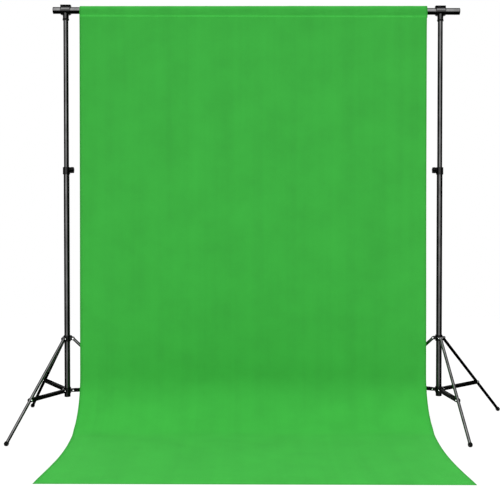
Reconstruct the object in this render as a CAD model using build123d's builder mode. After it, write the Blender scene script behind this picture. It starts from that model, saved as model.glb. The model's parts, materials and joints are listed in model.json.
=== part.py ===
from build123d import *
import math
import os

# Background support system: two folding light stands, a crossbar in three sections
# and a green cloth backdrop that hangs from the bar and sweeps forward on the floor.
# Millimetres. +Z is up, -Y is the side that the backdrop faces.
# The origin is on the floor, under the middle of the whole footprint.

# ---------------------------------------------------------------- driving dimensions
bar_y = 320.0  # plane of the masts and the crossbar
bar_z = 2148.0  # crossbar axis
cloth_x = -52.0  # centre line of the backdrop
mast_x = {"left": -1023.0, "right": 919.0}
leg_angles = {"left": (5.2, 125.2, 245.2), "right": (155.2, 35.2, 275.2)}
knob_angles = {"left": 0.0, "right": 180.0}  # mast lock knobs point at the backdrop
collar_knob_angles = {"left": 65.2, "right": 95.2}  # leg collar knobs, between legs

lower_tube_r, lower_tube_wall = 15.0, 1.2
lower_tube_bottom, lower_tube_top = 146.0, 1310.0
upper_tube_r, upper_tube_wall = 13.0, 1.0
upper_tube_bottom, upper_tube_top = 1160.0, 2121.5
running_gap = 0.05  # radial clearance of every sliding or turning fit

end_cap_bottom, end_cap_top, end_cap_r = 142.5, 160.0, 15.8
collar_r = 18.5  # outside of both leg collars
spreader_bottom, spreader_top = 161.0, 192.0
leg_collar_bottom, leg_collar_top = 432.0, 464.0
lock_collar_bottom, lock_collar_top, lock_collar_r = 1301.0, 1339.0, 18.8
lock_knob_z = 1323.0
plug_tube_wall = 2.0  # spigots of end caps, bushes and plugs
knob_screw_r = 3.0
boss_reach = 21.0  # knob bosses, from the mast axis
knob_start = 21.5  # a knob's inner face, just clear of its boss
lock_knob_end, lock_knob_r, lock_boss_r = 38.5, 16.5, 9.5
collar_knob_end, collar_knob_r, collar_boss_r = 38.0, 12.5, 8.0
screw_tip_gap = 0.3  # an undone screw stops this far short of its tube
edge_break = 1.5  # rounded or chamfered edges of the mouldings

leg_pivot_r, leg_pivot_z = 29.3, 447.0
foot_r, foot_z = 480.0, 10.0  # centre of the ball of a foot, from the mast axis
brace_pivot_r, brace_pivot_z = 31.0, 176.4
leg_joint = 380.9  # from a leg's top pivot to its brace rivet
leg_tube_r, leg_wall = 8.0, 1.2
leg_end_width = 15.8  # across the flattened top end of a leg
foot_ball_r, boot_length = 10.5, 9.0

ear_inner, ear_thickness = 8.3, 3.0  # leg collar ears, from the leg's mid plane
lug_radius = 8.5  # rounded ends of ears, tongues and braces
tongue_width = 16.2  # spreader collar tongue, between the two cheeks of a brace
brace_inner, brace_sheet = 8.4, 1.6  # brace channel: half gap and metal thickness
web_start, web_end = 16.0, 165.0  # where the channel has its web, along the brace
rivet_r, rivet_head_r, rivet_head, rivet_taper = 2.5, 4.4, 1.8, 25
spreader_rivet_gap = 0.2  # between a brace's cheek and the head of its collar rivet

bar_r, bar_wall = 17.5, 1.5
bar_left_end, bar_right_end = -1088.0, 1019.0
plug_flange, plug_depth = 4.0, 22.0
joiner_length, joiner_wall = 120.0, 1.5

holder_half_length = 26.0
holder_shell_r = 20.8
shell_split = 3.0  # the sleeve splits this far above the bar's axis
holder_split_z = bar_z + shell_split
neck_r, neck_bottom, rim_r, rim_top = 15.2, 2097.0, 16.2, 2105.0
cap_plate_bottom, cap_plate_top, cap_plate_half_depth = 2163.0, 2176.0, 14.0
plate_corner_r, plate_chamfer = 3.0, 1.0

cloth_half_width = 900.0
cloth_thickness = 1.2
pocket_r = bar_r + 0.2
seam_z = bar_z - 36.0
seam_height, seam_gap = 5.0, 0.4  # sewn height, and half the gap between layers above it
cloth_lean = math.radians(0.8)  # the hanging part leans forward by this much
bend_r = 260.0  # sweep from wall to floor
front_edge = 1041.0  # how far the front edge lies in front of the bar
waist_start = 200.0  # the floor run narrows from here, in front of the bar
waist_half_width = 876.0  # the floor run pulls in to this at its middle

# ---------------------------------------------------------------- worked out from them
leg_lean = math.atan2(foot_r - leg_pivot_r, leg_pivot_z - foot_z)
leg_length = math.hypot(foot_r - leg_pivot_r, leg_pivot_z - foot_z)
joint_r = leg_pivot_r + leg_joint * math.sin(leg_lean)
joint_z = leg_pivot_z - leg_joint * math.cos(leg_lean)
brace_length = math.hypot(joint_r - brace_pivot_r, joint_z - brace_pivot_z)
section_length = (bar_right_end - bar_left_end) / 3


def save(piece, name):
    """Label a finished piece and write its STEP file."""
    piece.part.label = name
    export_step(piece.part, f"parts/{name}.step")


def mast_plane(side, z):
    """Level plane on a mast's axis, at height z."""
    return Plane(origin=(mast_x[side], bar_y, z))


def radial_plane(side, angle):
    """Upright plane through a mast: local x runs outward at this angle, local y up."""
    a = math.radians(angle)
    out = (math.cos(a), math.sin(a), 0)
    return Plane(origin=(mast_x[side], bar_y, 0), x_dir=out, z_dir=(out[1], -out[0], 0))


def outward_plane(side, angle, z):
    """Plane on a mast's axis at height z, facing outward at this angle."""
    a = math.radians(angle)
    out = (math.cos(a), math.sin(a), 0)
    return Plane(origin=(mast_x[side], bar_y, z), x_dir=(0, 0, 1), z_dir=out)


def leg_plane(radial):
    """Plane square to a leg at its top pivot, facing down the leg."""
    top = radial.from_local_coords((leg_pivot_r, leg_pivot_z, 0))
    down = radial.x_dir * math.sin(leg_lean) - Vector(0, 0, math.cos(leg_lean))
    return Plane(origin=top, x_dir=radial.z_dir, z_dir=down)


def brace_plane(radial):
    """Upright plane of a brace: local x runs from its collar rivet to its leg rivet."""
    inner = radial.from_local_coords((brace_pivot_r, brace_pivot_z, 0))
    outer = radial.from_local_coords((joint_r, joint_z, 0))
    return Plane(origin=inner, x_dir=outer - inner, z_dir=radial.z_dir)


# ---------------------------------------------------------------- columns and masts
def make_tube(side, name, radius, wall, bottom, top):
    with BuildPart() as tube:
        with BuildSketch(mast_plane(side, bottom)):
            Circle(radius)
            Circle(radius - wall, mode=Mode.SUBTRACT)
        extrude(amount=top - bottom)
    save(tube, f"{side}_{name}")


def make_end_cap(side):
    """Plastic cup over the bottom end of the lower tube."""
    with BuildPart() as cap:
        with BuildSketch(mast_plane(side, end_cap_bottom)):
            Circle(end_cap_r)
        extrude(amount=end_cap_top - end_cap_bottom)
        fillet(cap.edges().sort_by(Axis.Z)[0], edge_break)
        with BuildSketch(mast_plane(side, lower_tube_bottom)):
            Circle(lower_tube_r)
        extrude(amount=end_cap_top - lower_tube_bottom, mode=Mode.SUBTRACT)
        with BuildSketch(mast_plane(side, lower_tube_bottom)):
            Circle(lower_tube_r - lower_tube_wall)
            Circle(lower_tube_r - lower_tube_wall - plug_tube_wall, mode=Mode.SUBTRACT)
        extrude(amount=end_cap_top - end_cap_bottom)
    save(cap, f"{side}_end_cap")


def make_guide_bush(side):
    """Plastic bush in the foot of the upper tube, which runs inside the lower tube."""
    bush_length, spigot_length = 20.0, 18.0
    with BuildPart() as bush:
        with BuildSketch(mast_plane(side, upper_tube_bottom - bush_length)):
            Circle(lower_tube_r - lower_tube_wall - running_gap)
        extrude(amount=bush_length)
        with BuildSketch(mast_plane(side, upper_tube_bottom)):
            Circle(upper_tube_r - upper_tube_wall)
        extrude(amount=spigot_length)
        with BuildSketch(mast_plane(side, upper_tube_bottom - bush_length)):
            Circle(upper_tube_r - upper_tube_wall - plug_tube_wall)
        extrude(amount=bush_length + spigot_length, mode=Mode.SUBTRACT)
    save(bush, f"{side}_guide_bush")


def make_lock_collar(side):
    """Collar on top of the lower tube, which guides and clamps the upper tube."""
    with BuildPart() as collar:
        with BuildSketch(mast_plane(side, lock_collar_bottom)):
            Circle(lock_collar_r)
        extrude(amount=lock_collar_top - lock_collar_bottom)
        chamfer(collar.edges().group_by(Axis.Z)[-1], edge_break)
        fillet(collar.edges().group_by(Axis.Z)[0], edge_break)
        with BuildSketch(outward_plane(side, knob_angles[side], lock_knob_z)):
            Circle(lock_boss_r)
        extrude(amount=boss_reach)
        with BuildSketch(mast_plane(side, lock_collar_bottom)):
            Circle(lower_tube_r)
        extrude(amount=lower_tube_top - lock_collar_bottom, mode=Mode.SUBTRACT)
        with BuildSketch(mast_plane(side, lower_tube_top)):
            Circle(upper_tube_r + running_gap)
        extrude(amount=lock_collar_top - lower_tube_top, mode=Mode.SUBTRACT)
        with BuildSketch(outward_plane(side, knob_angles[side], lock_knob_z)):
            Circle(knob_screw_r + running_gap)
        extrude(amount=boss_reach, mode=Mode.SUBTRACT)
    save(collar, f"{side}_lock_collar")


def make_knob(side, name, outward, tube_r, end, radius):
    """Five-lobed knob with its screw; the screw's tip stops just short of the tube."""
    lobe_r, lobe_count, core_share = radius / 3, 5, 0.78
    tip = tube_r + screw_tip_gap
    with BuildPart() as knob:
        with BuildSketch(outward.offset(knob_start)):
            Circle(radius * core_share)
            with PolarLocations(radius - lobe_r, lobe_count):
                Circle(lobe_r)
        extrude(amount=end - knob_start)
        outer_face = knob.faces().sort_by(Axis(outward.origin, outward.z_dir))[-1]
        chamfer(outer_face.edges(), edge_break)
        with BuildSketch(outward.offset(tip)):
            Circle(knob_screw_r)
        extrude(amount=knob_start - tip)
    save(knob, f"{side}_{name}")


# ---------------------------------------------------------------- leg spreader
def make_spreader_collar(side):
    """Fixed collar at the foot of the column, with one tongue for each brace."""
    with BuildPart() as collar:
        with BuildSketch(mast_plane(side, spreader_bottom)):
            Circle(collar_r)
        extrude(amount=spreader_top - spreader_bottom)
        for angle in leg_angles[side]:
            with BuildSketch(radial_plane(side, angle)):
                with Locations((brace_pivot_r / 2, brace_pivot_z)):
                    Rectangle(brace_pivot_r, 2 * lug_radius)
                with Locations((brace_pivot_r, brace_pivot_z)):
                    Circle(lug_radius)
            extrude(amount=tongue_width / 2, both=True)
        for angle in leg_angles[side]:
            with BuildSketch(radial_plane(side, angle)):
                with Locations((brace_pivot_r, brace_pivot_z)):
                    Circle(rivet_r)
            extrude(amount=tongue_width, both=True, mode=Mode.SUBTRACT)
        with BuildSketch(mast_plane(side, spreader_bottom)):
            Circle(lower_tube_r)
        extrude(amount=spreader_top - spreader_bottom, mode=Mode.SUBTRACT)
    save(collar, f"{side}_spreader_collar")


def make_leg_collar(side):
    """Sliding collar with a pair of ears for each leg and a boss for its knob."""
    ear_root = 8.0  # the ears start this far from the mast axis, inside the collar
    with BuildPart() as collar:
        with BuildSketch(mast_plane(side, leg_collar_bottom)):
            Circle(collar_r)
        extrude(amount=leg_collar_top - leg_collar_bottom)
        for angle in leg_angles[side]:
            for way in (1, -1):
                with BuildSketch(radial_plane(side, angle).offset(way * ear_inner)):
                    with Locations(((ear_root + leg_pivot_r) / 2, leg_pivot_z)):
                        Rectangle(leg_pivot_r - ear_root, 2 * lug_radius)
                    with Locations((leg_pivot_r, leg_pivot_z)):
                        Circle(lug_radius)
                        Circle(rivet_r, mode=Mode.SUBTRACT)
                extrude(amount=way * ear_thickness)
        outward = outward_plane(side, collar_knob_angles[side], leg_pivot_z)
        with BuildSketch(outward):
            Circle(collar_boss_r)
        extrude(amount=boss_reach)
        with BuildSketch(mast_plane(side, leg_collar_bottom)):
            Circle(lower_tube_r + running_gap)
        extrude(amount=leg_collar_top - leg_collar_bottom, mode=Mode.SUBTRACT)
        with BuildSketch(outward):
            Circle(knob_screw_r + running_gap)
        extrude(amount=boss_reach, mode=Mode.SUBTRACT)
    save(collar, f"{side}_leg_collar")


def make_collar_rivets(side, name, r, z, half_grip):
    """Through rivets at (r, z) of each radial plane, with a head outside each cheek."""
    with BuildPart() as rivets:
        for angle in leg_angles[side]:
            radial = radial_plane(side, angle)
            with BuildSketch(radial):
                with Locations((r, z)):
                    Circle(rivet_r)
            extrude(amount=half_grip, both=True)
            for way in (1, -1):
                with BuildSketch(radial.offset(way * half_grip)):
                    with Locations((r, z)):
                        Circle(rivet_head_r)
                extrude(amount=way * rivet_head, taper=rivet_taper)
    save(rivets, f"{side}_{name}")


def make_leg(side, number, radial):
    """Round tube with a flattened, rounded top end that turns on the collar's rivet."""
    along = leg_plane(radial)
    with BuildPart() as leg:
        with BuildSketch(along):
            Circle(leg_tube_r)
        extrude(amount=leg_length)
        with BuildSketch(radial):
            with Locations((leg_pivot_r, leg_pivot_z)):
                Circle(leg_tube_r)
        extrude(amount=leg_end_width / 2, both=True)
        with BuildSketch(along.offset(2 * leg_tube_r)):
            Circle(leg_tube_r - leg_wall)
        extrude(amount=leg_length, mode=Mode.SUBTRACT)
        with BuildSketch(radial):
            with Locations((leg_pivot_r, leg_pivot_z)):
                Circle(rivet_r + running_gap)
        extrude(amount=leg_end_width, both=True, mode=Mode.SUBTRACT)
    save(leg, f"{side}_leg_{number}")


def make_foot(side, number, radial):
    """Rubber boot with a ball end, flat where it stands on the floor."""
    along = leg_plane(radial)
    profile_plane = Plane(
        origin=along.origin, x_dir=along.x_dir, z_dir=along.x_dir.cross(along.z_dir)
    )
    rim_s = leg_length - boot_length
    slant = foot_ball_r * math.sqrt(0.5)
    with BuildPart() as foot:
        with BuildSketch(profile_plane):
            with BuildLine():
                rim = Line((leg_tube_r, rim_s), (foot_ball_r, rim_s))
                wall = Line(rim @ 1, (foot_ball_r, leg_length))
                ball = ThreePointArc(
                    wall @ 1, (slant, leg_length + slant), (0, leg_length + foot_ball_r)
                )
                Polyline(ball @ 1, (0, leg_length), (leg_tube_r, leg_length), rim @ 0)
            make_face()
        revolve(axis=Axis(along.origin, along.z_dir))
        split(bisect_by=Plane.XY, keep=Keep.TOP)
    save(foot, f"{side}_foot_{number}")


def make_brace(side, number, radial):
    """Channel whose two cheeks straddle the collar's tongue and the leg."""
    upright = brace_plane(radial)
    with BuildPart() as brace:
        for way in (1, -1):
            with BuildSketch(upright.offset(way * brace_inner)):
                with Locations((brace_length / 2, 0)):
                    SlotCenterToCenter(brace_length, 2 * lug_radius)
                Circle(rivet_r + running_gap, mode=Mode.SUBTRACT)
                with Locations((brace_length, 0)):
                    Circle(rivet_r, mode=Mode.SUBTRACT)
            extrude(amount=way * brace_sheet)
        with BuildSketch(upright):
            with Locations(((web_start + web_end) / 2, lug_radius - brace_sheet / 2)):
                Rectangle(web_end - web_start, brace_sheet)
        extrude(amount=brace_inner, both=True)
    save(brace, f"{side}_brace_{number}")


def make_brace_rivet(side, number, radial):
    """Half rivet in each cheek at the leg end; nothing crosses the leg's own space."""
    upright = brace_plane(radial)
    with BuildPart() as rivet:
        for way in (1, -1):
            with BuildSketch(upright.offset(way * brace_inner)):
                with Locations((brace_length, 0)):
                    Circle(rivet_r)
            extrude(amount=way * brace_sheet)
            with BuildSketch(upright.offset(way * (brace_inner + brace_sheet))):
                with Locations((brace_length, 0)):
                    Circle(rivet_head_r)
            extrude(amount=way * rivet_head, taper=rivet_taper)
    save(rivet, f"{side}_brace_rivet_{number}")


# ---------------------------------------------------------------- crossbar holders
flange_inner, flange_outer, flange_depth, cap_flange_depth = 15.0, 31.0, 9.0, 7.0
flange_half_length = holder_half_length - 2
screw_spread, screw_out, screw_r, screw_depth = 15.0, 26.0, 2.0, 7.0
screw_head_r, screw_head, socket_r, socket_floor = 3.8, 3.0, 1.8, 1.0
gusset_half, gusset_lip, gusset_drop = 4.0, 1.5, 5.0  # the rib under the saddle
mast_end_gap = 0.3


def bar_plane(x):
    """Plane square to the crossbar at x, with its centre on the bar's axis."""
    return Plane(origin=(x, bar_y, bar_z), x_dir=(0, 1, 0), z_dir=(1, 0, 0))


def make_holder(side):
    """T-shaped moulding: a socket over the mast and a saddle under the crossbar."""
    middle = bar_plane(mast_x[side])
    rib_plane = Plane(
        origin=(mast_x[side], bar_y, bar_z), x_dir=(1, 0, 0), z_dir=(0, -1, 0)
    )
    with BuildPart() as holder:
        with BuildSketch(middle):
            Circle(holder_shell_r)
            with Locations((0, shell_split + 2 * holder_shell_r)):
                Rectangle(4 * holder_shell_r, 4 * holder_shell_r, mode=Mode.SUBTRACT)
        extrude(amount=holder_half_length, both=True)
        with BuildSketch(middle):
            with Locations(((flange_inner + flange_outer) / 2, shell_split - flange_depth / 2)):
                Rectangle(flange_outer - flange_inner, flange_depth)
        extrude(amount=flange_half_length, both=True)
        with BuildSketch(mast_plane(side, neck_bottom)):
            Circle(neck_r)
        extrude(amount=bar_z - neck_bottom)
        with BuildSketch(mast_plane(side, neck_bottom)):
            Circle(rim_r)
        extrude(amount=rim_top - neck_bottom)
        with BuildSketch(rib_plane):
            with BuildLine():
                Polyline(
                    (-holder_half_length, 0),
                    (holder_half_length, 0),
                    (holder_half_length, -holder_shell_r - gusset_lip),
                    (neck_r, -holder_shell_r - gusset_drop),
                    (-neck_r, -holder_shell_r - gusset_drop),
                    (-holder_half_length, -holder_shell_r - gusset_lip),
                    close=True,
                )
            make_face()
        extrude(amount=gusset_half, both=True)
        with BuildSketch(middle):
            Circle(bar_r + running_gap)
        extrude(amount=holder_half_length, both=True, mode=Mode.SUBTRACT)
        with BuildSketch(mast_plane(side, neck_bottom)):
            Circle(upper_tube_r + running_gap)
        extrude(amount=upper_tube_top + mast_end_gap - neck_bottom, mode=Mode.SUBTRACT)
        with BuildSketch(mast_plane(side, holder_split_z)):
            with Locations((-screw_spread, screw_out), (screw_spread, screw_out)):
                Circle(screw_r)
        extrude(amount=-screw_depth, mode=Mode.SUBTRACT)
    save(holder, f"{side}_bar_holder")


def make_holder_cap(side):
    """Upper half of the sleeve, with a flat plate on top and a screw flange behind."""
    middle = bar_plane(mast_x[side])
    with BuildPart() as cap:
        with BuildSketch(middle):
            Circle(holder_shell_r)
            with Locations((0, shell_split - 2 * holder_shell_r)):
                Rectangle(4 * holder_shell_r, 4 * holder_shell_r, mode=Mode.SUBTRACT)
        extrude(amount=holder_half_length, both=True)
        with BuildSketch(mast_plane(side, cap_plate_bottom)):
            RectangleRounded(2 * holder_half_length, 2 * cap_plate_half_depth, plate_corner_r)
        extrude(amount=cap_plate_top - cap_plate_bottom)
        chamfer(cap.edges().group_by(Axis.Z)[-1], plate_chamfer)
        with BuildSketch(mast_plane(side, holder_split_z)):
            with Locations((0, (flange_inner + flange_outer) / 2)):
                Rectangle(2 * flange_half_length, flange_outer - flange_inner)
        extrude(amount=cap_flange_depth)
        with BuildSketch(middle):
            Circle(bar_r + running_gap)
        extrude(amount=holder_half_length, both=True, mode=Mode.SUBTRACT)
        with BuildSketch(mast_plane(side, holder_split_z)):
            with Locations((-screw_spread, screw_out), (screw_spread, screw_out)):
                Circle(screw_r)
        extrude(amount=cap_flange_depth, mode=Mode.SUBTRACT)
    save(cap, f"{side}_holder_cap")


def make_holder_screws(side):
    """Two socket-head screws that pull the cap down on the holder's flange."""
    head_bottom = holder_split_z + cap_flange_depth
    with BuildPart() as screws:
        for x in (-screw_spread, screw_spread):
            with BuildSketch(mast_plane(side, holder_split_z - screw_depth)):
                with Locations((x, screw_out)):
                    Circle(screw_r)
            extrude(amount=screw_depth + cap_flange_depth)
            with BuildSketch(mast_plane(side, head_bottom)):
                with Locations((x, screw_out)):
                    Circle(screw_head_r)
                    RegularPolygon(socket_r, 6, mode=Mode.SUBTRACT)
            extrude(amount=screw_head)
            with BuildSketch(mast_plane(side, head_bottom)):
                with Locations((x, screw_out)):
                    Circle(screw_head_r)
            extrude(amount=socket_floor)
    save(screws, f"{side}_holder_screws")


# ---------------------------------------------------------------- crossbar
def make_bar_section(name, start, end):
    with BuildPart() as section:
        with BuildSketch(bar_plane(start)):
            Circle(bar_r)
            Circle(bar_r - bar_wall, mode=Mode.SUBTRACT)
        extrude(amount=end - start)
    save(section, name)


def make_bar_joiner(name, middle_x):
    """Inner tube that two sections of the bar slip over."""
    outer = bar_r - bar_wall - running_gap
    with BuildPart() as joiner:
        with BuildSketch(bar_plane(middle_x)):
            Circle(outer)
            Circle(outer - joiner_wall, mode=Mode.SUBTRACT)
        extrude(amount=joiner_length / 2, both=True)
    save(joiner, name)


def make_bar_plug(name, end_x, way):
    """Plastic plug in an open end of the bar; way is the side that the bar lies on."""
    with BuildPart() as plug:
        with BuildSketch(bar_plane(end_x)):
            Circle(bar_r)
        extrude(amount=way * plug_flange)
        with BuildSketch(bar_plane(end_x + way * plug_flange)):
            Circle(bar_r - bar_wall)
            Circle(bar_r - bar_wall - plug_tube_wall, mode=Mode.SUBTRACT)
        extrude(amount=way * plug_depth)
    save(plug, name)


# ---------------------------------------------------------------- backdrop
def make_backdrop():
    """One sheet: a sewn pocket round the bar, a hanging part, a sweep, a floor run."""
    centre_y = -(seam_z - bend_r * (1 - math.sin(cloth_lean))) * math.tan(cloth_lean)
    centre_y -= bend_r * math.cos(cloth_lean)
    half = cloth_thickness / 2

    def on_sheet(radius, angle):
        """Point of the sweep at this radius, from 0 at the wall to 90 at the floor."""
        return (centre_y + radius * math.cos(angle), bend_r - radius * math.sin(angle))

    top_shift = (half * math.cos(cloth_lean), half * math.sin(cloth_lean))
    middle_angle = (math.pi / 2 + cloth_lean) / 2
    side_plane = Plane(origin=(cloth_x, bar_y, 0), x_dir=(0, 1, 0), z_dir=(1, 0, 0))
    with BuildPart() as sheet:
        with BuildSketch(side_plane):
            with BuildLine():
                back = Line((top_shift[0], seam_z - top_shift[1]), on_sheet(bend_r, cloth_lean))
                under = ThreePointArc(
                    back @ 1, on_sheet(bend_r, middle_angle), on_sheet(bend_r, math.pi / 2)
                )
                floor = Line(under @ 1, (-front_edge, 0))
                hem = Line(floor @ 1, (-front_edge, cloth_thickness))
                inner_r = bend_r - cloth_thickness
                run = Line(hem @ 1, on_sheet(inner_r, math.pi / 2))
                over = ThreePointArc(
                    run @ 1, on_sheet(inner_r, middle_angle), on_sheet(inner_r, cloth_lean)
                )
                face = Line(over @ 1, (-top_shift[0], seam_z + top_shift[1]))
                Line(face @ 1, back @ 0)
            make_face()
        extrude(amount=cloth_half_width, both=True)
        with BuildSketch(side_plane):
            with Locations((0, bar_z)):
                Circle(pocket_r + cloth_thickness)
            with Locations((0, seam_z)):
                Circle(cloth_thickness)
            make_hull()
        extrude(amount=cloth_half_width, both=True)
        with BuildSketch(side_plane):
            with Locations((0, bar_z)):
                Circle(pocket_r)
            with Locations((0, seam_z + seam_height)):
                Circle(seam_gap)
            make_hull()
        extrude(amount=cloth_half_width, both=True, mode=Mode.SUBTRACT)
        with BuildSketch(Plane(origin=(cloth_x, bar_y, 0))):
            for way in (1, -1):
                with BuildLine():
                    waist = ThreePointArc(
                        (way * cloth_half_width, -waist_start),
                        (way * waist_half_width, -(waist_start + front_edge) / 2),
                        (way * cloth_half_width, -front_edge),
                    )
                    Line(waist @ 1, waist @ 0)
                make_face()
        extrude(amount=bend_r, mode=Mode.SUBTRACT)
    save(sheet, "backdrop")


def make_stand(side):
    """One whole light stand, with its knobs, tripod and crossbar holder."""
    make_tube(side, "lower_tube", lower_tube_r, lower_tube_wall, lower_tube_bottom, lower_tube_top)
    make_tube(side, "upper_tube", upper_tube_r, upper_tube_wall, upper_tube_bottom, upper_tube_top)
    make_end_cap(side)
    make_guide_bush(side)
    make_lock_collar(side)
    lock_plane = outward_plane(side, knob_angles[side], lock_knob_z)
    make_knob(side, "lock_knob", lock_plane, upper_tube_r, lock_knob_end, lock_knob_r)
    make_spreader_collar(side)
    make_leg_collar(side)
    collar_plane = outward_plane(side, collar_knob_angles[side], leg_pivot_z)
    make_knob(side, "collar_knob", collar_plane, lower_tube_r, collar_knob_end, collar_knob_r)
    spreader_grip = brace_inner + brace_sheet + spreader_rivet_gap
    make_collar_rivets(side, "spreader_rivets", brace_pivot_r, brace_pivot_z, spreader_grip)
    make_collar_rivets(side, "leg_rivets", leg_pivot_r, leg_pivot_z, ear_inner + ear_thickness)
    for number, angle in enumerate(leg_angles[side], start=1):
        radial = radial_plane(side, angle)
        make_leg(side, number, radial)
        make_foot(side, number, radial)
        make_brace(side, number, radial)
        make_brace_rivet(side, number, radial)
    make_holder(side)
    make_holder_cap(side)
    make_holder_screws(side)


os.makedirs("parts", exist_ok=True)
for stand in ("left", "right"):
    make_stand(stand)

first_joint = bar_left_end + section_length
second_joint = bar_right_end - section_length
make_bar_section("bar_left_section", bar_left_end + plug_flange, first_joint)
make_bar_section("bar_middle_section", first_joint, second_joint)
make_bar_section("bar_right_section", second_joint, bar_right_end - plug_flange)
make_bar_joiner("bar_left_joiner", first_joint)
make_bar_joiner("bar_right_joiner", second_joint)
make_bar_plug("bar_left_plug", bar_left_end, 1)
make_bar_plug("bar_right_plug", bar_right_end, -1)
make_backdrop()
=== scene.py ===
import json
import math

import bmesh
import bpy
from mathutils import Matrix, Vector, noise


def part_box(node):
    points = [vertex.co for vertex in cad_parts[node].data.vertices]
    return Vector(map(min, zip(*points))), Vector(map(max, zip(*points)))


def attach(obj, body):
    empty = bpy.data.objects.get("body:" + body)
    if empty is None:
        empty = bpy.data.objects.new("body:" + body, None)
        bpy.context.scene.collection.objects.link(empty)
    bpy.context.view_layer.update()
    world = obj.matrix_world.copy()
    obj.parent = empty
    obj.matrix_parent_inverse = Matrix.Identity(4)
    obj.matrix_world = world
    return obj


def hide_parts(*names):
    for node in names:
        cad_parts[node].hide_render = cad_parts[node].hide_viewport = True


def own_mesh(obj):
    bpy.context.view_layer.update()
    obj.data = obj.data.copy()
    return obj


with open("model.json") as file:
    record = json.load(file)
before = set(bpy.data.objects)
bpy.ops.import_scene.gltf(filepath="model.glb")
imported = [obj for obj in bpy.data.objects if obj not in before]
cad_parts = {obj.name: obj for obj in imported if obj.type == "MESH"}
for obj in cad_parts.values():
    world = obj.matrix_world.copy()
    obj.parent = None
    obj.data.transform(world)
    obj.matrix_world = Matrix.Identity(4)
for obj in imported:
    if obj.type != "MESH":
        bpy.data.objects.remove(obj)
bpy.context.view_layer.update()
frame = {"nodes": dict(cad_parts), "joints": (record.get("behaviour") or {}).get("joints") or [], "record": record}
nodes = frame["nodes"]
joints = {joint["name"]: joint for joint in frame["joints"]}
SIDES = ("left", "right")

# ------------------------------------------------------------------ places from the frame
bar_low, bar_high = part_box("bar_middle_section")
BAR_Y, BAR_Z = (bar_low.y + bar_high.y) / 2, (bar_low.z + bar_high.z) / 2
BAR_R = (bar_high.z - bar_low.z) / 2
cloth_low, cloth_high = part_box("backdrop")
CLOTH_X = (cloth_low.x + cloth_high.x) / 2
CLOTH_HALF = (cloth_high.x - cloth_low.x) / 2
FRONT_Y = cloth_low.y

# ------------------------------------------------------------------ the sheet, metres
SEAM_DROP = 0.036  # pocket seam below the bar's axis
SEAM_Z = BAR_Z - SEAM_DROP
SEAM_FORWARD = 0.016  # the sheet hangs from the front half of the bar
LEAN = math.radians(0.8)  # the hanging part comes forward by this angle
BEND_R = 0.26  # sweep from the hanging part to the floor
WAIST = 0.024  # how far each side of the floor run pulls in at its middle
WAIST_START = 0.20  # in front of the bar
SEAM_LAP = 0.007  # the panel's turned edge is sewn this far up over the pocket
LAP_RISE = 0.0021  # and lies this far in front of it
FLOOR_DRIFT = -0.008  # sideways shift of the front edge, to the left
FRONT_SKEW = 0.018  # its right corner lies this far forward, its left one back
TOP_PULL = 0.0028  # the cloth gathers along the pocket by this share of its width
CLOTH_T = 0.0008
SIDE_HEM, FRONT_HEM = 0.011, 0.022
EDGE_LINE = 0.0006  # a mesh line this far in keeps the cloth's edges crisp
PUCKER_PITCH = 0.047  # along the seam
FABRIC_STEP = 0.016  # mesh of the panel
POCKET_R = BAR_R + 0.0016
POCKET_ROW = 0.0029  # cloth between two rows of the pocket's mesh
POCKET_LIFT = (0.0030, 0.0085)  # slack over the top of the bar, left and right end
POCKET_EXTRA = 0.003  # the pocket is this much wider than the sheet at the right end

# ------------------------------------------------------------------ its flat cut
BEND_TURN = math.pi / 2 - LEAN
BEND_TOP_Z = BEND_R * (1 - math.sin(LEAN))
HANG_LENGTH = (SEAM_Z - BEND_TOP_Z) / math.cos(LEAN)
BEND_Y = BAR_Y - HANG_LENGTH * math.sin(LEAN)
BEND_CENTRE_Y = BEND_Y - BEND_R * math.cos(LEAN)
BEND_LENGTH = BEND_R * BEND_TURN
RUN_LENGTH = BEND_CENTRE_Y - FRONT_Y
SHEET_LENGTH = HANG_LENGTH + BEND_LENGTH + RUN_LENGTH


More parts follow.
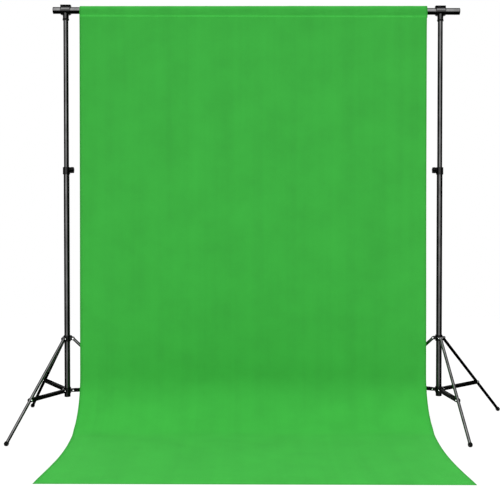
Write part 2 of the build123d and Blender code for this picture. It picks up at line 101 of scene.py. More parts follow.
# ------------------------------------------------------------------ materials
class Shader:
    """A principled material under construction, with short calls for its nodes."""

    def __init__(self, name):
        self.material = bpy.data.materials.new(name)
        self.material.use_nodes = True
        self.tree = self.material.node_tree
        self.bsdf = self.tree.nodes["Principled BSDF"]

    def node(self, kind, values=None, **settings):
        made = self.tree.nodes.new(kind)
        for key, value in settings.items():
            setattr(made, key, value)
        for key, value in (values or {}).items():
            made.inputs[key].default_value = value
        return made

    def link(self, source, target):
        self.tree.links.new(source, target)

    def set(self, **values):
        for key, value in values.items():
            self.bsdf.inputs[key.replace("_", " ")].default_value = value

    def coordinates(self, stretch=(1, 1, 1)):
        """The piece's own coordinates in metres, stretched along each axis."""
        place = self.node("ShaderNodeTexCoord")
        mapping = self.node("ShaderNodeMapping")
        mapping.inputs["Scale"].default_value = stretch
        self.link(place.outputs["Object"], mapping.inputs["Vector"])
        return mapping.outputs["Vector"]

    def noise(self, vector, scale, detail=3.0, roughness=0.55):
        made = self.node(
            "ShaderNodeTexNoise", {"Scale": scale, "Detail": detail, "Roughness": roughness}
        )
        self.link(vector, made.inputs["Vector"])
        return made.outputs["Fac"]

    def ramp(self, source, low, high, low_at=0.3, high_at=0.7):
        """Maps a 0 to 1 value to a grey level or a colour between two ends."""
        made = self.node("ShaderNodeValToRGB")
        for element, at, value in zip(made.color_ramp.elements, (low_at, high_at), (low, high)):
            element.position = at
            element.color = value if hasattr(value, "__len__") else (value, value, value, 1)
        self.link(source, made.inputs["Fac"])
        return made.outputs["Color"]

    def math(self, operation, *terms):
        made = self.node("ShaderNodeMath", operation=operation)
        for slot, term in zip(made.inputs, terms):
            if isinstance(term, (int, float)):
                slot.default_value = term
            else:
                self.link(term, slot)
        return made.outputs["Value"]

    def band(self, value, start, end):
        """0 at start rising smoothly to 1 at end."""
        made = self.node("ShaderNodeMapRange", {"From Min": start, "From Max": end})
        made.interpolation_type = "SMOOTHSTEP"
        self.link(value, made.inputs["Value"])
        return made.outputs["Result"]

    def bump(self, height, strength, distance):
        made = self.node("ShaderNodeBump", {"Strength": strength, "Distance": distance})
        self.link(height, made.inputs["Height"])
        self.link(made.outputs["Normal"], self.bsdf.inputs["Normal"])


DRAWN_ALONG_X = (6, 900, 900)  # stretches noise into fine marks along a drawn tube
DRAWN_ALONG_Z = (900, 900, 6)


def anodised(name, tone, roughness, drawn_along=DRAWN_ALONG_Z):
    """Black anodised aluminium: fine lengthwise drawing marks, faint handling wear."""
    made = Shader(name)
    drawn = made.noise(made.coordinates(drawn_along), 1.0, 2.0)
    blotches = made.noise(made.coordinates(), 14.0, 4.0)
    made.link(made.ramp(blotches, tone * 0.8, tone * 1.35), made.bsdf.inputs["Base Color"])
    made.link(
        made.ramp(drawn, roughness - 0.05, roughness + 0.06), made.bsdf.inputs["Roughness"]
    )
    made.bump(drawn, 0.04, 0.0002)
    made.set(Metallic=1.0)
    return made.material


def moulded_plastic(name, roughness, grain, specular, tone=0.001):
    """Black moulded plastic with a spark-eroded grain and slight gloss patches."""
    made = Shader(name)
    place = made.coordinates()
    fine = made.noise(place, 1400.0, 2.0)
    patches = made.noise(place, 45.0, 3.0)
    made.link(made.ramp(patches, tone * 0.75, tone * 1.4), made.bsdf.inputs["Base Color"])
    made.link(
        made.ramp(patches, roughness - 0.07, roughness + 0.07), made.bsdf.inputs["Roughness"]
    )
    made.bump(fine, grain, 0.0003)
    made.set(Specular_IOR_Level=specular)
    return made.material


def rubber():
    """Matt black rubber, dusty where it is scuffed."""
    made = Shader("rubber_black")
    place = made.coordinates()
    dust = made.noise(place, 160.0, 5.0, 0.65)
    made.link(
        made.ramp(dust, (0.002, 0.002, 0.002, 1), (0.010, 0.010, 0.009, 1), 0.5, 0.85),
        made.bsdf.inputs["Base Color"],
    )
    made.link(made.ramp(dust, 0.72, 0.92), made.bsdf.inputs["Roughness"])
    made.bump(made.noise(place, 900.0, 3.0), 0.25, 0.0004)
    made.set(Specular_IOR_Level=0.08)
    return made.material


def bright_steel():
    """Zinc-bright rivets and screws, finely scratched."""
    made = Shader("steel_bright")
    place = made.coordinates()
    marks = made.noise(place, 700.0, 4.0)
    made.link(made.ramp(marks, 0.55, 0.8), made.bsdf.inputs["Base Color"])
    made.link(made.ramp(marks, 0.22, 0.42), made.bsdf.inputs["Roughness"])
    made.bump(marks, 0.1, 0.0002)
    made.set(Metallic=1.0)
    return made.material


def bare_aluminium():
    """Uncoated drawn tube, for the joiners inside the bar."""
    made = Shader("aluminium_bare")
    drawn = made.noise(made.coordinates(DRAWN_ALONG_X), 1.0, 3.0)
    made.link(made.ramp(drawn, 0.5, 0.72), made.bsdf.inputs["Base Color"])
    made.link(made.ramp(drawn, 0.28, 0.45), made.bsdf.inputs["Roughness"])
    made.set(Metallic=1.0)
    return made.material


def nylon():
    """Off-white bush plastic."""
    made = Shader("nylon_natural")
    patches = made.noise(made.coordinates(), 60.0, 3.0)
    made.link(
        made.ramp(patches, (0.50, 0.49, 0.45, 1), (0.64, 0.63, 0.59, 1)),
        made.bsdf.inputs["Base Color"],
    )
    made.link(made.ramp(patches, 0.38, 0.52), made.bsdf.inputs["Roughness"])
    return made.material


CLOTH_GREEN = (0.0415, 0.363, 0.0465)
CLOTH_VARIATION = 0.07  # lighter and darker than that by this share
THREAD_PITCH = 0.0011
SEWN_TOP, SEWN_FOOT = -0.011, 0.002  # the sewn row's painted highlight, metres below the seam


def backdrop_cloth(name):
    """Green woven polyester: plain weave, slubs, soft mottling and faint long streaks.
    The sheet's UV map is its flat cut in metres, so the weave runs true to the threads.
    Painted shade darkens the folded side and front hems and the doubled pocket, and a painted highlight lightens
    the sewn row."""
    made = Shader(name)
    flat = made.node("ShaderNodeUVMap", uv_map="cut").outputs["UV"]

    def stretched(x, y):
        mapping = made.node("ShaderNodeMapping")
        mapping.inputs["Scale"].default_value = (x, y, 1)
        made.link(flat, mapping.inputs["Vector"])
        return mapping.outputs["Vector"]

    mottle = made.noise(stretched(1, 1), 5.5, 5.0, 0.6)
    streaks = made.noise(stretched(14, 0.35), 1.0, 3.0)
    slubs = made.noise(stretched(40, 900), 1.0, 2.0)
    tone = made.math("ADD", made.math("MULTIPLY", mottle, 0.6), made.math("MULTIPLY", streaks, 0.4))
    low = [c * (1 - CLOTH_VARIATION) for c in CLOTH_GREEN]
    high = [c * (1 + CLOTH_VARIATION) for c in CLOTH_GREEN]
    threads = made.node("ShaderNodeSeparateXYZ")
    made.link(flat, threads.inputs["Vector"])
    across, down = threads.outputs["X"], threads.outputs["Y"]
    from_middle = made.math("ABSOLUTE", made.math("SUBTRACT", across, CLOTH_HALF))
    # painted shade along the folded side hems
    folded_hem_shade = made.band(from_middle, CLOTH_HALF - SIDE_HEM, CLOTH_HALF - 0.002)
    # painted shade along the folded front hem
    front_hem_shade = made.band(down, SHEET_LENGTH - FRONT_HEM, SHEET_LENGTH - 0.004)
    # painted highlight along the sewn row, where the seam's ridge would catch the light
    below_top = made.band(down, SEWN_TOP, SEWN_TOP + 0.003)
    above_foot = made.band(down, SEWN_FOOT, SEWN_FOOT - 0.004)
    sewn_row_highlight = made.math("MULTIPLY", below_top, above_foot)
    # painted shade over the pocket, where the cloth is doubled
    pocket_shade = made.band(down, SEWN_TOP, SEWN_TOP - 0.009)
    shade = 1.0
    for operation, part, share in (
        ("SUBTRACT", folded_hem_shade, 0.24),
        ("SUBTRACT", front_hem_shade, 0.10),
        ("SUBTRACT", pocket_shade, 0.05),
        ("ADD", sewn_row_highlight, 0.19),
    ):
        shade = made.math(operation, shade, made.math("MULTIPLY", part, share))
    woven = made.ramp(tone, (*low, 1), (*high, 1), 0.35, 0.65)
    shaded = made.node("ShaderNodeVectorMath", operation="SCALE")
    made.link(woven, shaded.inputs[0])
    made.link(shade, shaded.inputs["Scale"])
    made.link(shaded.outputs["Vector"], made.bsdf.inputs["Base Color"])
    turn_per_metre = 2 * math.pi / THREAD_PITCH
    warp = made.math("SINE", made.math("MULTIPLY", across, turn_per_metre))
    weft = made.math("SINE", made.math("MULTIPLY", down, turn_per_metre))
    weave = made.math("MULTIPLY", warp, weft)
    height = made.math("ADD", weave, made.math("MULTIPLY", slubs, 1.2))
    made.bump(height, 0.25, 0.0003)
    made.link(made.ramp(slubs, 0.78, 0.92), made.bsdf.inputs["Roughness"])
    made.set(Sheen_Weight=0.03, Sheen_Roughness=0.5, Specular_IOR_Level=0.06)
    return made.material


def stitch_thread():
    """Twisted polyester thread, a little lighter than the cloth."""
    made = Shader("thread_green")
    twist = made.noise(made.coordinates((900, 900, 900)), 1.0, 2.0)
    made.link(
        made.ramp(twist, (0.07, 0.46, 0.07, 1), (0.11, 0.60, 0.11, 1)),
        made.bsdf.inputs["Base Color"],
    )
    made.set(Roughness=0.6, Specular_IOR_Level=0.3)
    return made.material


MATERIALS = {
    "black_tube": anodised("tube_black", 0.047, 0.20),
    "bar": anodised("bar_black", 0.058, 0.20, DRAWN_ALONG_X),
    "leg": anodised("leg_black", 0.098, 0.15),
    # name, roughness, grain, specular; the braces are painted
    "brace_metal": moulded_plastic("brace_satin_black", 0.50, 0.06, 0.015),
    "collar_plastic": moulded_plastic("collar_black", 0.24, 0.18, 0.15),
    "holder_plastic": moulded_plastic("holder_black", 0.24, 0.18, 0.30),
    "sleeve_plastic": moulded_plastic("sleeve_black", 0.20, 0.18, 0.55),
    "plate_plastic": moulded_plastic("plate_black", 0.55, 0.18, 0.02),
    "knob_plastic": moulded_plastic("knob_black", 0.34, 0.18, 0.04),
    "bush_plastic": nylon(),
    "rubber": rubber(),
    "fasteners": bright_steel(),
    "bare_tube": bare_aluminium(),
    "cloth": backdrop_cloth("cloth_green"),
}
SLOT_OF = {part["node"]: part["material_slot"] for part in frame["record"]["subparts"]}


def paint_cad_nodes():
    """Every carried-over CAD node gets the finish of its material slot, or a closer one."""
    for name, piece in nodes.items():
        finish = SLOT_OF[name]
        if name.startswith("bar_") and "section" in name:
            finish = "bar"
        elif "_leg_" in name and finish == "black_tube":
            finish = "leg"
        elif name.endswith("bar_holder"):
            finish = "holder_plastic"
        piece.data.materials.clear()
        piece.data.materials.append(MATERIALS[finish])


# ------------------------------------------------------------------ mesh helpers
def mesh_piece(name, points, faces, material, smooth=True):
    """A new object in the scene from points and faces."""
    mesh = bpy.data.meshes.new(name)
    mesh.from_pydata([tuple(p) for p in points], [], faces)
    mesh.validate()
    mesh.polygons.foreach_set("use_smooth", [smooth] * len(mesh.polygons))
    mesh.materials.append(material)
    piece = bpy.data.objects.new(name, mesh)
    bpy.context.scene.collection.objects.link(piece)
    return piece


def smooth_step(value, low, high):
    """0 at low rising smoothly to 1 at high."""
    t = min(max((value - low) / (high - low), 0.0), 1.0)
    return t * t * (3 - 2 * t)


def grid_faces(rows, columns, wrap=False):
    """Quads between rows of points; wrap joins each row's last point to its first."""
    faces = []
    for i in range(rows - 1):
        for j in range(columns if wrap else columns - 1):
            k = (j + 1) % columns
            a, b = i * columns + j, i * columns + k
            faces.append((a, b, b + columns, a + columns))
    return faces


def turned(points, faces, origin, axis, rings, sides=28):
    """Adds a closed turned shell; rings are (distance along the axis, radius)."""
    turn = Vector(axis).to_track_quat("Z", "X").to_matrix()
    start = len(points)
    for along, radius in rings:
        for k in range(sides):
            angle = 2 * math.pi * k / sides
            local = Vector((radius * math.cos(angle), radius * math.sin(angle), along))
            points.append(Vector(origin) + turn @ local)
    faces += [tuple(v + start for v in f) for f in grid_faces(len(rings), sides, wrap=True)]
    faces.append(tuple(start + k for k in reversed(range(sides))))
    faces.append(tuple(start + (len(rings) - 1) * sides + k for k in range(sides)))


def turned_ring(points, faces, centre, outline, sides):
    """Adds a closed ring about the vertical; outline is a loop of (radius, height)."""
    start, count = len(points), len(outline)
    for k in range(sides):
        angle = 2 * math.pi * k / sides
        for r, z in outline:
            points.append(centre + Vector((r * math.cos(angle), r * math.sin(angle), z)))
        for j in range(count):
            corners = ((k, j), (k + 1, j), (k + 1, j + 1), (k, j + 1))
            faces.append(tuple(start + a % sides * count + b % count for a, b in corners))


def prism(points, faces, outline, stations):
    """Adds a closed prism along X: outline is (y, z), stations are x values."""
    start, count = len(points), len(outline)
    points += [Vector((x, y, z)) for x in stations for y, z in outline]
    faces += [tuple(v + start for v in f) for f in grid_faces(len(stations), count, wrap=True)]
    faces.append(tuple(start + k for k in reversed(range(count))))
    faces.append(tuple(start + (len(stations) - 1) * count + k for k in range(count)))


def soften(piece, width, segments=2):
    """Rounds the sharp edges and keeps flat faces looking flat."""
    rounded = piece.modifiers.new("rounded_edges", "BEVEL")
    rounded.width, rounded.segments = width, segments
    rounded.limit_method, rounded.angle_limit = "ANGLE", math.radians(35)
    rounded.harden_normals = True


def outward(piece):
    """Turns every shell's faces outward."""
    work = bmesh.new()
    work.from_mesh(piece.data)
    bmesh.ops.recalc_face_normals(work, faces=work.faces)
    work.to_mesh(piece.data)
    work.free()


def stand_in(piece, body, *hidden):
    """The finished piece rides on a body and stands for these CAD nodes."""
    outward(piece)
    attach(piece, body)
    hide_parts(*hidden)


def thicken(piece):
    """Gives a sheet of faces the cloth's thickness."""
    thick = piece.modifiers.new("thickness", "SOLIDIFY")
    thick.thickness = CLOTH_T
    thick.offset = 0.0


def centre_of(node):
    """Middle of a CAD node's box in plan, at floor level."""
    low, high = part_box(node)
    return Vector(((low.x + high.x) / 2, (low.y + high.y) / 2, 0))


# ------------------------------------------------------------------ boots, knobs and caps
FOOT_REACH = 0.480  # from the mast's axis to the ball's centre
BALL_R = 0.0116
BALL_Z = 0.010  # below BALL_R: the ball is worn flat where it stands
BALL_STEPS = 9
BOOT_RINGS = (  # distance up the leg from the ball's centre, radius
    (0.0016, 0.0115),
    (0.0022, 0.0106),
    (0.0030, 0.0106),
    (0.0036, 0.0113),
    (0.0044, 0.0113),
    (0.0050, 0.0104),
    (0.0058, 0.0104),
    (0.0064, 0.0109),
    (0.0072, 0.0106),
    (0.0076, 0.0096),
    (0.0076, 0.0082),
)


def build_boot(side, number):
    """Rubber boot: a ball end worn flat on the floor, two grooves and a rolled rim."""
    pivot = Vector(joints[f"{side}_leg_{number}_fold"]["pos_m"])
    mast = centre_of(f"{side}_lower_tube")
    away = Vector((pivot.x - mast.x, pivot.y - mast.y, 0)).normalized()
    centre = mast + away * FOOT_REACH + Vector((0, 0, BALL_Z))
    up_leg = (pivot - centre).normalized()
    rings = []
    for i in range(BALL_STEPS):
        angle = math.pi / 2 * (1 - i / BALL_STEPS)
        rings.append((-BALL_R * math.sin(angle), max(BALL_R * math.cos(angle), 0.0004)))
    points, faces = [], []
    turned(points, faces, centre, up_leg, [*rings, (0.0, BALL_R), *BOOT_RINGS])
    for point in points:
        point.z = max(point.z, 0.0)
    boot = mesh_piece(f"{side}_boot_{number}", points, faces, MATERIALS["rubber"])
    stand_in(boot, f"{side}_leg_{number}", f"{side}_foot_{number}")


KNOB_R = {"lock_knob": 0.0165, "collar_knob": 0.0125}
KNOB_LENGTH = {"lock_knob": 0.0170, "collar_knob": 0.0165}
SCREW_INWARD = {"lock_knob": 0.0082, "collar_knob": 0.0062}  # from the knob's foot
KNOB_LOBES, KNOB_DIP = 5, 0.17  # the dip is a share of the radius
KNOB_SIDES = 60


def build_knob(side, name):
    """Five-lobed clamping knob with a rounded rim, a cap in its face and a steel screw."""
    joint = joints[f"{side}_{name}_turn"]
    axis = Vector(joint["axis"]).normalized()
    start = Vector(joint["pos_m"])
    length = KNOB_LENGTH[name]
    turn = axis.to_track_quat("Z", "X").to_matrix()
    rings = (  # distance out from the knob's foot, share of its radius
        (0.0, 0.84),
        (0.0003, 0.92),
        (0.0010, 0.98),
        (0.0022, 1.0),
        (length * 0.5, 1.0),
        (length - 0.0032, 0.99),
        (length - 0.0014, 0.94),
        (length - 0.0003, 0.84),
        (length, 0.74),
        (length - 0.0002, 0.56),
        (length - 0.0014, 0.53),
        (length - 0.0014, 0.47),
        (length - 0.0005, 0.44),
        (length - 0.0004, 0.05),
    )
    points, faces = [], []
    for along, share in rings:
        for k in range(KNOB_SIDES):
            angle = 2 * math.pi * k / KNOB_SIDES
            wave = (1 - math.cos(KNOB_LOBES * angle)) / 2
            dip = KNOB_DIP * wave**2 * smooth_step(share, 0.6, 0.8)
            r = KNOB_R[name] * share * (1 - dip)
            points.append(start + turn @ Vector((r * math.cos(angle), r * math.sin(angle), along)))
    faces += grid_faces(len(rings), KNOB_SIDES, wrap=True)
    faces.append(tuple(reversed(range(KNOB_SIDES))))
    faces.append(tuple((len(rings) - 1) * KNOB_SIDES + k for k in range(KNOB_SIDES)))
    knob = mesh_piece(f"{side}_{name}_head", points, faces, MATERIALS["knob_plastic"])
    points, faces = [], []
    inward = SCREW_INWARD[name]
    rings = [(-inward, 0.0022), (-inward + 0.0008, 0.0030), (0.0004, 0.0030)]
    turned(points, faces, start, axis, rings)
    screw = mesh_piece(f"{side}_{name}_screw", points, faces, MATERIALS["fasteners"])
    body = f"{side}_{name}"
    stand_in(knob, body, f"{side}_{name}")
    stand_in(screw, body, f"{side}_{name}")
    soften(screw, 0.0002)


def build_neck_ring(side):
    """Soft ring with one groove round the foot of the holder's neck."""
    centre = centre_of(f"{side}_upper_tube")
    centre.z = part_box(f"{side}_bar_holder")[0].z
    outline = (
        (0.0158, 0.0002),
        (0.0162, 0.0002),
        (0.0165, 0.0010),
        (0.0165, 0.0034),
        (0.0162, 0.0040),
        (0.0165, 0.0046),
        (0.0165, 0.0072),
        (0.0162, 0.0080),
        (0.0158, 0.0080),
    )
    points, faces = [], []
    turned_ring(points, faces, centre, outline, 40)
    ring = mesh_piece(f"{side}_neck_ring", points, faces, MATERIALS["rubber"])
    outward(ring)
    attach(ring, f"{side}_holder")


def build_lock_boss(side):
    """Wide round boss that the lock knob bears on, moulded in one with its collar."""
    joint = joints[f"{side}_lock_knob_turn"]
    axis = Vector(joint["axis"]).normalized()
    start = Vector(joint["pos_m"])
    rings = (
        (-0.0080, 0.0154),
        (-0.0018, 0.0154),
        (-0.0010, 0.0151),
        (-0.0005, 0.0143),
        (-0.0003, 0.0130),
        (-0.0003, 0.0036),
    )
    points, faces = [], []
    turned(points, faces, start, axis, rings, 40)
    boss = mesh_piece(f"{side}_lock_boss", points, faces, MATERIALS["knob_plastic"])
    outward(boss)
    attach(boss, f"{side}_column")


SLEEVE_R = 0.0208
SLEEVE_PLAY = 0.0005  # round the bar
SLEEVE_SPLIT = 0.0030  # the cap meets the holder this far above the bar's axis
SEAT_R = SLEEVE_R - 0.0014  # plate and flange are rooted this deep in the sleeve
BEAD_LENGTH, BEAD_RISE, BEAD_DEPTH = 0.0035, 0.0007, 0.0012
FLANGE_HEIGHT, FLANGE_INSET = 0.007, 0.002
PLATE_HALF, PLATE_CORNER = 0.0140, 0.0022


def build_holder_cap(side):
    """Upper half of the sleeve with a dull bead at each end, the flat plate on top and
    the screw flange behind."""
    low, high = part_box(f"{side}_holder_cap")
    middle, half = (low.x + high.x) / 2, (high.x - low.x) / 2
    points, faces = [], []
    steps = 24

    def half_ring(radius):
        begin = math.asin(SLEEVE_SPLIT / radius)
        angles = [begin + (math.pi - 2 * begin) * i / steps for i in range(steps + 1)]
        return [(BAR_Y - radius * math.cos(t), BAR_Z + radius * math.sin(t)) for t in angles]

    sleeve = half_ring(SLEEVE_R) + half_ring(BAR_R + SLEEVE_PLAY)[::-1]
    prism(points, faces, sleeve, (middle - half, middle + half))
    shiny_faces = len(faces)
    bead = half_ring(SLEEVE_R + BEAD_RISE) + half_ring(SLEEVE_R - BEAD_DEPTH)[::-1]
    for x in (-half, half - BEAD_LENGTH):
        prism(points, faces, bead, (middle + x, middle + x + BEAD_LENGTH))
    heights = [SLEEVE_SPLIT + FLANGE_HEIGHT * (1 - i / 6) for i in range(7)]
    flange = [(BAR_Y + math.sqrt(SEAT_R**2 - z**2), BAR_Z + z) for z in heights]
    flange += [(high.y, BAR_Z + heights[-1]), (high.y, BAR_Z + heights[0])]
    prism(points, faces, flange, (middle - half + FLANGE_INSET, middle + half - FLANGE_INSET))
    offsets = [PLATE_HALF * (i / 8 - 1) for i in range(17)]
    plate = [(BAR_Y + y, BAR_Z + math.sqrt(SEAT_R**2 - y**2)) for y in offsets]
    for way, begin in ((1, 0.0), (-1, 0.5 * math.pi)):
        for i in range(4):
            t = begin + math.pi / 2 * i / 3
            y = way * (PLATE_HALF - PLATE_CORNER) + PLATE_CORNER * math.cos(t)
            plate.append((BAR_Y + y, high.z - PLATE_CORNER + PLATE_CORNER * math.sin(t)))
    prism(points, faces, plate, (middle - half, middle + half))
    cap = mesh_piece(f"{side}_holder_cap_moulding", points, faces, MATERIALS["sleeve_plastic"])
    cap.data.materials.append(MATERIALS["plate_plastic"])
    for polygon in cap.data.polygons[shiny_faces:]:
        polygon.material_index = 1
    soften(cap, 0.0006)
    stand_in(cap, f"{side}_holder", f"{side}_holder_cap")


def finish_fittings():
    for side in SIDES:
        for number in (1, 2, 3):
            build_boot(side, number)
        build_knob(side, "lock_knob")
        build_knob(side, "collar_knob")
        build_lock_boss(side)
        build_neck_ring(side)
        build_holder_cap(side)


# ------------------------------------------------------------------ the cloth
def profile(s):
    """Point (y, z) and front normal (y, z) of the sheet, s metres of cloth below the seam."""
    if s <= HANG_LENGTH:
        point = (BAR_Y - s * math.sin(LEAN), SEAM_Z - s * math.cos(LEAN))
        return point, (-math.cos(LEAN), math.sin(LEAN))
    if s <= HANG_LENGTH + BEND_LENGTH:
        turn = LEAN + (s - HANG_LENGTH) / BEND_R
        out = (math.cos(turn), -math.sin(turn))
        point = (BEND_CENTRE_Y + BEND_R * out[0], BEND_R + BEND_R * out[1])
        return point, (-out[0], -out[1])
    return (BEND_CENTRE_Y - (s - HANG_LENGTH - BEND_LENGTH), 0.0), (0.0, 1.0)


def half_width(y):
    """Half the cloth's width at y: the floor run pulls in a little at its middle."""
    start = BAR_Y - WAIST_START
    if y >= start:
        return CLOTH_HALF
    share = (start - y) / (start - FRONT_Y)
    return CLOTH_HALF - WAIST * math.sin(math.pi * min(share, 1.0))


def pucker(x):
    """-1 to 1 along the seam, where the sewing draws the cloth up unevenly."""
    uneven = 2.0 * noise.noise(Vector((x * 9.0, 0, 1)))
    return math.sin(x * 2 * math.pi / PUCKER_PITCH + uneven)


def soft_folds(x, s):
    """How far the cloth stands out from its even profile: long shallow waves from the
    bar, small puckers under the seam, and a little lift in the floor run."""
    long_waves = noise.noise(Vector((x * 2.1, s * 0.45, 3.7)))
    middle_waves = noise.noise(Vector((x * 6.0, s * 0.9, 8.1)))
    floor = smooth_step(s, HANG_LENGTH, HANG_LENGTH + BEND_LENGTH)
    hanging = 0.006 * long_waves + 0.002 * middle_waves
    hanging *= smooth_step(s, 0.0, 0.35)
    hanging += 0.0006 * pucker(x) * (1 - smooth_step(s, 0.0, 0.09))
    lying = 0.0016 + 0.0030 * max(0.0, noise.noise(Vector((x * 3.0, s * 2.6, 5.3))))
    lying *= smooth_step(SHEET_LENGTH - s, 0.0, 0.06)
    return hanging * (1 - floor) + lying * floor


def spread(length, step, lines):
    """Even stations along a length, with extra ones where a hem needs an edge."""
    count = max(2, round(length / step))
    stations = {round(length * i / count, 5) for i in range(count + 1)}
    return sorted(stations | {round(v, 5) for v in lines})


def add_cut_map(mesh, cut):
    """UV map of the flat cut, in metres."""
    layer = mesh.uv_layers.new(name="cut")
    for loop in mesh.loops:
        layer.data[loop.index].uv = cut[loop.vertex_index]


def build_cloth_panel():
    """The hanging part, the sweep and the floor run, as one sheet with turned hems."""
    width = 2 * CLOTH_HALF
    hem_lines = (EDGE_LINE, SIDE_HEM, SIDE_HEM + CLOTH_T)
    across = spread(width, FABRIC_STEP, [*hem_lines, *(width - v for v in hem_lines)])
    front_lines = (EDGE_LINE, FRONT_HEM, FRONT_HEM + CLOTH_T)
    along = spread(SHEET_LENGTH, FABRIC_STEP, [SHEET_LENGTH - v for v in front_lines])
    along = [-SEAM_LAP, -SEAM_LAP / 2, *along]
    points, cut = [], []
    for s in along:
        (y, z), (ny, nz) = profile(s)
        half = half_width(y)
        for a in across:
            side = a / width * 2 - 1
            lying = smooth_step(s, HANG_LENGTH, SHEET_LENGTH)
            x = side * half * (1 - TOP_PULL * (1 - smooth_step(s, 0.0, 1.6)))
            x += FLOOR_DRIFT * lying
            rise = soft_folds(a, s)
            in_side = min(a, width - a) <= SIDE_HEM
            in_front = SHEET_LENGTH - s <= FRONT_HEM
            rise += CLOTH_T if in_side or in_front else 0.0
            rise += SEAM_FORWARD * (1 - smooth_step(s, 0.0, 1.3))
            rise += LAP_RISE * (1 - smooth_step(s, 0.0, 0.08))
            forward = FRONT_SKEW * side * lying
            points.append((CLOTH_X + x, y + ny * rise - forward, z + nz * rise + CLOTH_T / 2))
            cut.append((a, s))
    faces = [f[::-1] for f in grid_faces(len(along), len(across))]
    panel = mesh_piece("backdrop_cloth", points, faces, MATERIALS["cloth"])
    add_cut_map(panel.data, cut)
    thicken(panel)
    return panel


def tangent_turn(seam, way):
    """Angle round the bar, from straight up towards +Y, where a straight layer of cloth
    from the seam touches it; way is -1 for the front layer and 1 for the back."""
    y, z = seam
    away = math.hypot(y, z)
    return math.atan2(y, z) - way * math.acos(POCKET_R / away)


def pocket_loop():
    """(y, z, out y, out z) round the pocket, from the seam's front over the bar."""
    seam = (-SEAM_FORWARD, -SEAM_DROP)
    layer_rows, arc_steps = 10, 40
    layers, turns = [], []
    for way in (-1, 1):
        turn = tangent_turn(seam, way)
        out = (math.sin(turn), math.cos(turn))
        layer = []
        for i in range(layer_rows):
            share = i / layer_rows
            apart = way * 0.0010 * (1 - share)
            y = seam[0] + share * (POCKET_R * out[0] - seam[0]) + apart
            z = seam[1] + share * (POCKET_R * out[1] - seam[1])
            layer.append((y, z, *out))
        layers.append(layer)
        turns.append(turn % (2 * math.pi))
    front_turn, back_turn = turns
    arc = []
    for i in range(arc_steps + 1):
        turn = front_turn + ((back_turn - front_turn) % (2 * math.pi)) * i / arc_steps
        out = (math.sin(turn), math.cos(turn))
        arc.append((POCKET_R * out[0], POCKET_R * out[1], *out))
    front, back = layers
    return front + arc + back[::-1]


def build_pocket():
    """The rod pocket: the cloth turned over the bar and sewn to itself below it."""
    width = 2 * CLOTH_HALF + POCKET_EXTRA
    across = spread(width, FABRIC_STEP / 2, (EDGE_LINE, width - EDGE_LINE))
    loop = pocket_loop()
    points, cut = [], []
    for k, (y, z, oy, oz) in enumerate(loop):
        low = smooth_step(-z, -0.004, SEAM_DROP)
        flap = low * (1 - low) * 4
        for a in across:
            slack = 0.0008 * pucker(a) * flap
            slack += 0.0016 * flap * (0.6 + noise.noise(Vector((a * 4.0, k * 0.1, 2))))
            slack += 0.0005 * noise.noise(Vector((a * 22.0, k * 0.35, 9)))
            share = a / width
            lift = POCKET_LIFT[0] * (1 - share) + POCKET_LIFT[1] * share
            lift *= max(0.0, oz) if z > 0 else 0.0
            points.append(
                (
                    CLOTH_X - (CLOTH_HALF - a) * (1 - TOP_PULL),
                    BAR_Y + y + oy * max(slack, 0.0),
                    BAR_Z + z + oz * max(slack, 0.0) + lift,
                )
            )
            cut.append((a, -POCKET_ROW * min(k, len(loop) - 1 - k)))
    faces = grid_faces(len(loop), len(across))
    pocket = mesh_piece("backdrop_pocket", points, faces, MATERIALS["cloth"])
    add_cut_map(pocket.data, cut)
    thicken(pocket)
    return pocket


def build_seam_stitches():
    """One row of lockstitch along the pocket's seam, front and back."""
    pitch, length, radius, sides = 0.0045, 0.0033, 0.0005, 5
    above_seam = 0.0040
    rings = ((0, 0.25), (0.2, 1.0), (0.8, 1.0), (1, 0.25))  # shares of length and radius
    points, faces = [], []
    count = int(2 * CLOTH_HALF / pitch)
    for out in (-LAP_RISE - CLOTH_T / 2, 0.0018):
        for i in range(count):
            x0 = CLOTH_X - CLOTH_HALF + (i + 0.5) * pitch - length / 2
            start = len(points)
            for share, size in rings:
                for k in range(sides):
                    turn = 2 * math.pi * k / sides
                    points.append(
                        (
                            x0 + share * length,
                            BAR_Y - SEAM_FORWARD + out + radius * size * math.cos(turn),
                            SEAM_Z + above_seam + radius * size * math.sin(turn),
                        )
                    )
            tube = grid_faces(len(rings), sides, wrap=True)
            faces += [tuple(v + start for v in f) for f in tube]
            faces.append(tuple(start + k for k in reversed(range(sides))))
            faces.append(tuple(start + (len(rings) - 1) * sides + k for k in range(sides)))
    return mesh_piece("backdrop_seam_stitches", points, faces, stitch_thread())


def make_cloth():
    """The sheet in its three pieces, carried on the crossbar."""
    panel = build_cloth_panel()
    pocket = build_pocket()
    stitches = build_seam_stitches()
    for piece in (panel, pocket, stitches):
        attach(piece, "crossbar")
    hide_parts("backdrop")
    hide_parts("backdrop")
    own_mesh(panel)


# ------------------------------------------------------------------ stage, light, camera
CAMERA_DISTANCE = 4.557  # in front of the crossbar's plane
CAMERA_HEIGHT = 1.095
CAMERA_PITCH = math.radians(1.2)
CAMERA_LENS = 62.96
CAMERA_YAW = math.radians(0.6)  # stands this far round to the left
CAMERA_SHIFT = (-0.0070, -0.0272)  # shares of the picture's width
ROOM_LEVEL = (0.74, 0.90)  # soft light from all round, from below and from above
MIRRORED_LEVEL = 4.6  # of the broad source in front, as shiny surfaces mirror it
BEHIND_LEVEL = 0.9  # of a weaker one behind
WHITE = (1, 1, 1, 1)


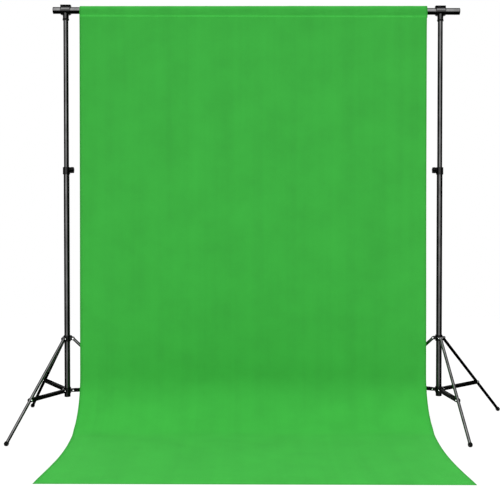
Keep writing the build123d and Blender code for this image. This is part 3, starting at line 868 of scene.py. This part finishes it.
def make_camera():
    """Level with the middle of the backdrop, a few metres in front."""
    data = bpy.data.cameras.new("camera")
    data.lens, data.sensor_width = CAMERA_LENS, 36.0
    data.shift_x, data.shift_y = CAMERA_SHIFT
    camera = bpy.data.objects.new("camera", data)
    camera.location = (
        CLOTH_X - CAMERA_DISTANCE * math.sin(CAMERA_YAW),
        BAR_Y - CAMERA_DISTANCE * math.cos(CAMERA_YAW),
        CAMERA_HEIGHT,
    )
    camera.rotation_euler = (math.pi / 2 - CAMERA_PITCH, 0, -CAMERA_YAW)
    bpy.context.scene.collection.objects.link(camera)
    bpy.context.scene.camera = camera


def make_light(name, place, target, size, watts):
    """Broad lamp that neither shows nor mirrors."""
    data = bpy.data.lights.new(name, "AREA")
    data.shape, data.size, data.energy = "DISK", size, watts
    light = bpy.data.objects.new(name, data)
    light.location = place
    light.rotation_euler = (Vector(target) - Vector(place)).to_track_quat("-Z", "Y").to_euler()
    light.visible_camera = light.visible_glossy = False
    bpy.context.scene.collection.objects.link(light)


def make_sun(name, elevation, strength, width):
    """Distant soft light from in front and above, even over the whole backdrop."""
    data = bpy.data.lights.new(name, "SUN")
    data.energy, data.angle = strength, math.radians(width)
    light = bpy.data.objects.new(name, data)
    light.rotation_euler = (math.radians(90 - elevation), 0, 0)
    bpy.context.scene.collection.objects.link(light)


def make_world():
    """White seen straight on, and soft even light from all round on matt surfaces.
    Shiny surfaces mirror one broad soft source in front, a little to the left, and a
    weaker one behind, in a black room, so round black tubes get one soft highlight and
    dark edges. The sources' limits are parts of a unit direction."""
    world = bpy.data.worlds.new("studio")
    bpy.context.scene.world = world
    world.use_nodes = True
    tree = world.node_tree
    shown = tree.nodes["Background"]
    shown.inputs["Color"].default_value = WHITE
    place = tree.nodes.new("ShaderNodeTexCoord")
    axes = tree.nodes.new("ShaderNodeSeparateXYZ")
    tree.links.new(place.outputs["Generated"], axes.inputs["Vector"])

    def level(axis, start, end, low=0.0, high=1.0):
        made = tree.nodes.new("ShaderNodeMapRange")
        made.interpolation_type = "SMOOTHSTEP"
        limits = (("From Min", start), ("From Max", end), ("To Min", low), ("To Max", high))
        for key, value in limits:
            made.inputs[key].default_value = value
        tree.links.new(axis, made.inputs["Value"])
        return made.outputs["Result"]

    def product(first, *others):
        for other in others:
            made = tree.nodes.new("ShaderNodeMath")
            made.operation = "MULTIPLY"
            tree.links.new(first, made.inputs[0])
            tree.links.new(other, made.inputs[1])
            first = made.outputs["Value"]
        return first

    def background(strength):
        made = tree.nodes.new("ShaderNodeBackground")
        made.inputs["Color"].default_value = WHITE
        tree.links.new(strength, made.inputs["Strength"])
        return made.outputs[0]

    def chosen(by, first, second):
        made = tree.nodes.new("ShaderNodeMixShader")
        tree.links.new(by, made.inputs[0])
        tree.links.new(first, made.inputs[1])
        tree.links.new(second, made.inputs[2])
        return made.outputs[0]

    across, depth, up = (axes.outputs[name] for name in "XYZ")
    room = level(up, -1, 1, *ROOM_LEVEL)
    source = product(
        level(up, 0.40, 0.72, 1.0, 1.5),
        level(across, -0.85, -0.45),
        level(across, 0.58, 0.22),
        level(up, -0.45, 0.15, 0.0, MIRRORED_LEVEL),
        level(up, 0.94, 0.66),
        level(depth, 0.0, -0.15),
    )
    behind = product(
        level(across, -0.90, -0.40),
        level(across, 0.90, 0.40),
        level(up, -0.60, 0.0),
        level(depth, 0.20, 0.60, 0.0, BEHIND_LEVEL),
    )
    mirrored = tree.nodes.new("ShaderNodeMath")
    tree.links.new(source, mirrored.inputs[0])
    tree.links.new(behind, mirrored.inputs[1])
    rays = tree.nodes.new("ShaderNodeLightPath")
    shiny = background(mirrored.outputs["Value"])
    lighting = chosen(rays.outputs["Is Glossy Ray"], background(room), shiny)
    seen = chosen(rays.outputs["Is Camera Ray"], lighting, shown.outputs[0])
    tree.links.new(seen, tree.nodes["World Output"].inputs["Surface"])


def make_floor():
    """Pale floor that fades into the white round it, from 2.2 m out."""
    half = 9.0
    points = [(-half, -half, 0), (half, -half, 0), (half, half, 0), (-half, half, 0)]
    made = Shader("floor_white")
    made.set(Base_Color=(0.15, 0.15, 0.15, 1), Roughness=0.9, Specular_IOR_Level=0.0)
    made.set(Emission_Color=WHITE, Emission_Strength=0.88)
    place = made.node("ShaderNodeTexCoord")
    length = made.node("ShaderNodeVectorMath", operation="LENGTH")
    made.link(place.outputs["Object"], length.inputs[0])
    fade = made.node(
        "ShaderNodeMapRange", {"From Min": 2.2, "From Max": 6.0, "To Min": 1.0, "To Max": 0.0}
    )
    fade.interpolation_type = "SMOOTHSTEP"
    made.link(length.outputs["Value"], fade.inputs["Value"])
    made.link(fade.outputs["Result"], made.bsdf.inputs["Alpha"])
    floor = mesh_piece("floor", points, [(0, 1, 2, 3)], made.material, smooth=False)
    floor.location.z = -CLOTH_T / 2
    floor.visible_glossy = False


def make_studio():
    make_camera()
    make_world()
    make_floor()
    make_sun("overhead", 72, 1.65, 60)
    make_light("low_front", (CLOTH_X, -3.6, 0.7), (CLOTH_X, BAR_Y, 0.5), 1.6, 16)
    bpy.context.scene.view_settings.view_transform = "Standard"


make_studio()
paint_cad_nodes()
finish_fittings()
make_cloth()
